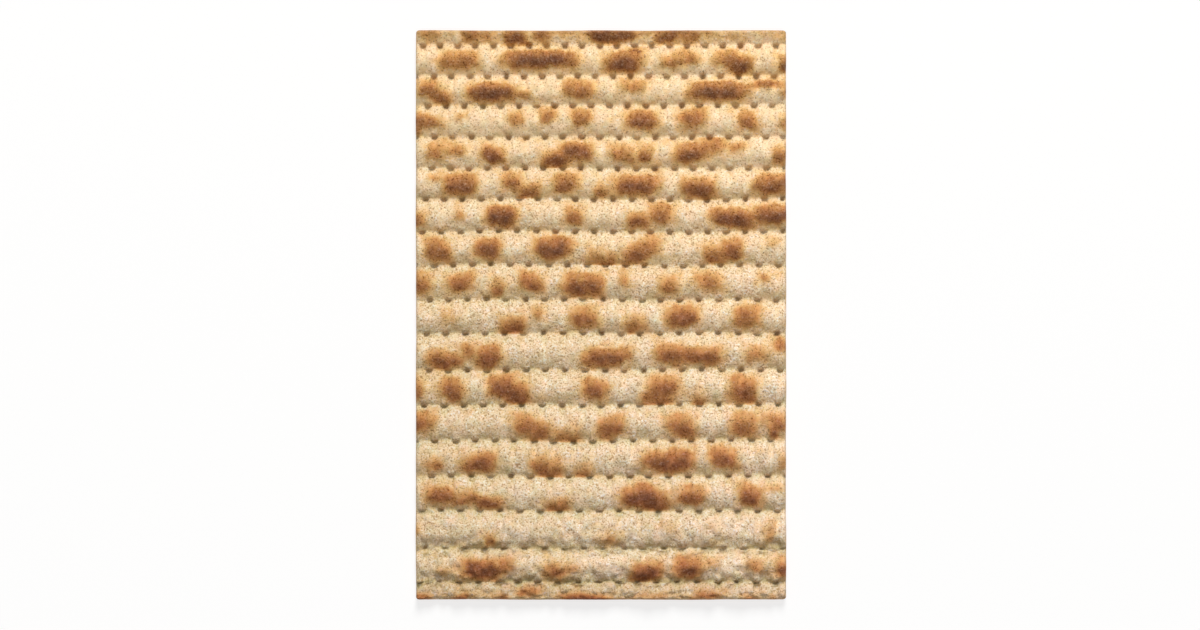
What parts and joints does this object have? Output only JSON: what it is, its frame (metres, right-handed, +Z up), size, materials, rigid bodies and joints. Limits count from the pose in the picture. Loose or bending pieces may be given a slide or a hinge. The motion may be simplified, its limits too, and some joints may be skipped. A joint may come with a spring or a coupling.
{
  "type": "matzo sheet",
  "caption": "Oblong sheet of plain baked matzo with rows of closed docking holes, raised ridges between them and browned blisters; lies flat on its underside.",
  "frame": {"origin": "centre of the sheet's outline, at its flat underside", "axes": "+X along the rows of holes, +Y across the rows along the sheet's length, +Z up out of the browned upper face"},
  "size_m": [0.11, 0.169, 0.0049],
  "materials": {
    "baked_dough": "matt, floury baked dough, cream with orange-brown to dark brown blisters and fine bran specks"
  },
  "bodies": {
    "root": {"matzo_sheet": "baked_dough"}
  },
  "joints": []
}
